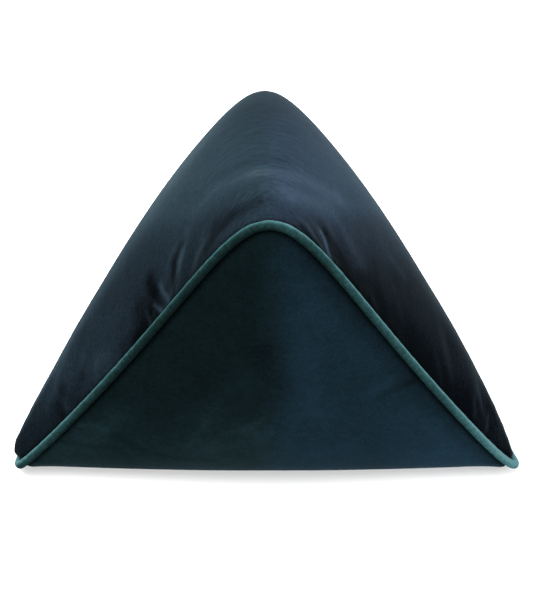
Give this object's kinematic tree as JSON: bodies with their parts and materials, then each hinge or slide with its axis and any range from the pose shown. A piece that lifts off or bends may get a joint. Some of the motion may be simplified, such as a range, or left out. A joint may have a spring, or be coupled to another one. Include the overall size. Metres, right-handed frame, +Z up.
{
  "type": "pyramid pillow",
  "caption": "Stuffed four-cornered velvet pillow with soft ridge folds and a round contrast welt in its one continuous seam, resting on one face.",
  "frame": {"origin": "centre of the footprint's bounding rectangle, on the floor", "axes": "+X along the front bottom edge to the right, +Y to the back corner, +Z up"},
  "size_m": [0.4722, 0.3832, 0.3742],
  "materials": {
    "velvet": "dark blue-grey short-pile velvet with a pale sheen at grazing angles",
    "welt_velvet": "teal short-pile velvet drawn over a round cord, with fine cross ribs"
  },
  "bodies": {
    "root": {"pillow": "velvet", "welt": "welt_velvet"}
  },
  "joints": []
}
